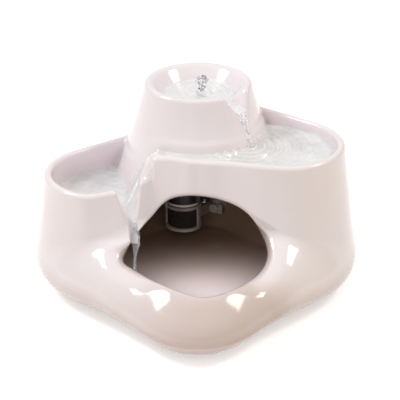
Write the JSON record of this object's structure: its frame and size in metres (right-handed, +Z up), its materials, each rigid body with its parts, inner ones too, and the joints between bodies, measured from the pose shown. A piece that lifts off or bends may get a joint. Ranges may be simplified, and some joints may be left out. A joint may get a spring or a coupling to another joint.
{
  "type": "pet water fountain",
  "caption": "Glazed ceramic pet water fountain: lobed body with a covered basin and drinking opening, two stepped trays, a tower bowl, and a submersible pump with filter and riser.",
  "frame": {"origin": "on the floor, under the middle of the body", "axes": "+Z up, -Y towards the drinking opening, +X towards the higher tray"},
  "size_m": [0.2626, 0.254, 0.158],
  "materials": {
    "glaze": "ivory gloss glaze",
    "pad_rubber": "matt",
    "sleeve_rubber": "satin",
    "clear_rubber": "translucent",
    "riser_plastic": "milky",
    "nozzle_plastic": "satin",
    "cage_plastic": "satin",
    "foam": "open-cell foam",
    "lever_plastic": "satin",
    "pump_plastic": "satin",
    "seal_rubber": "satin",
    "rotor_plastic": "satin",
    "magnet": "sintered ferrite",
    "shaft_steel": "polished stainless",
    "bush_plastic": "matt",
    "core_steel": "laminated",
    "winding": "enamelled wire",
    "resin": "cast resin",
    "gland_rubber": "matt"
  },
  "bodies": {
    "fountain": {"ceramic_body": "glaze", "foot_pad_front": "pad_rubber", "foot_pad_back": "pad_rubber", "foot_pad_left": "pad_rubber", "foot_pad_right": "pad_rubber", "cord_grommet": "sleeve_rubber", "riser_grommet": "sleeve_rubber", "riser_tube": "riser_plastic", "suction_cup": "clear_rubber"},
    "nozzle": {"bubbler_nozzle": "nozzle_plastic"},
    "pump": {"filter_cage": "cage_plastic", "foam_filter": "foam", "intake_cover": "pump_plastic", "cover_seal": "seal_rubber", "pump_housing": "pump_plastic", "pump_shaft": "shaft_steel", "lower_bush": "bush_plastic", "upper_bush": "bush_plastic", "stator_core": "core_steel", "stator_coils": "winding", "potting": "resin", "motor_cap": "pump_plastic", "cord_gland": "gland_rubber"},
    "rotor": {"impeller": "rotor_plastic", "rotor_magnet": "magnet"},
    "flow_control": {"flow_ring": "lever_plastic"}
  },
  "joints": [
    {"name": "nozzle_lift", "type": "slide", "parent": "fountain", "child": "nozzle", "axis": [0, 0, 1], "range_m": [0, 0.03]},
    {"name": "pump_lower", "type": "slide", "parent": "fountain", "child": "pump", "axis": [0, 0, -1], "range_m": [0, 0.007]},
    {"name": "impeller_spin", "type": "hinge", "parent": "pump", "child": "rotor", "pos_m": [-0.01245, 0.08445, 0.06], "axis": [0, 0, 1], "continuous": true},
    {"name": "flow_turn", "type": "hinge", "parent": "pump", "child": "flow_control", "pos_m": [-0.01245, 0.08445, 0.0447], "axis": [0, 0, 1], "range_deg": [0, 50]}
  ]
}
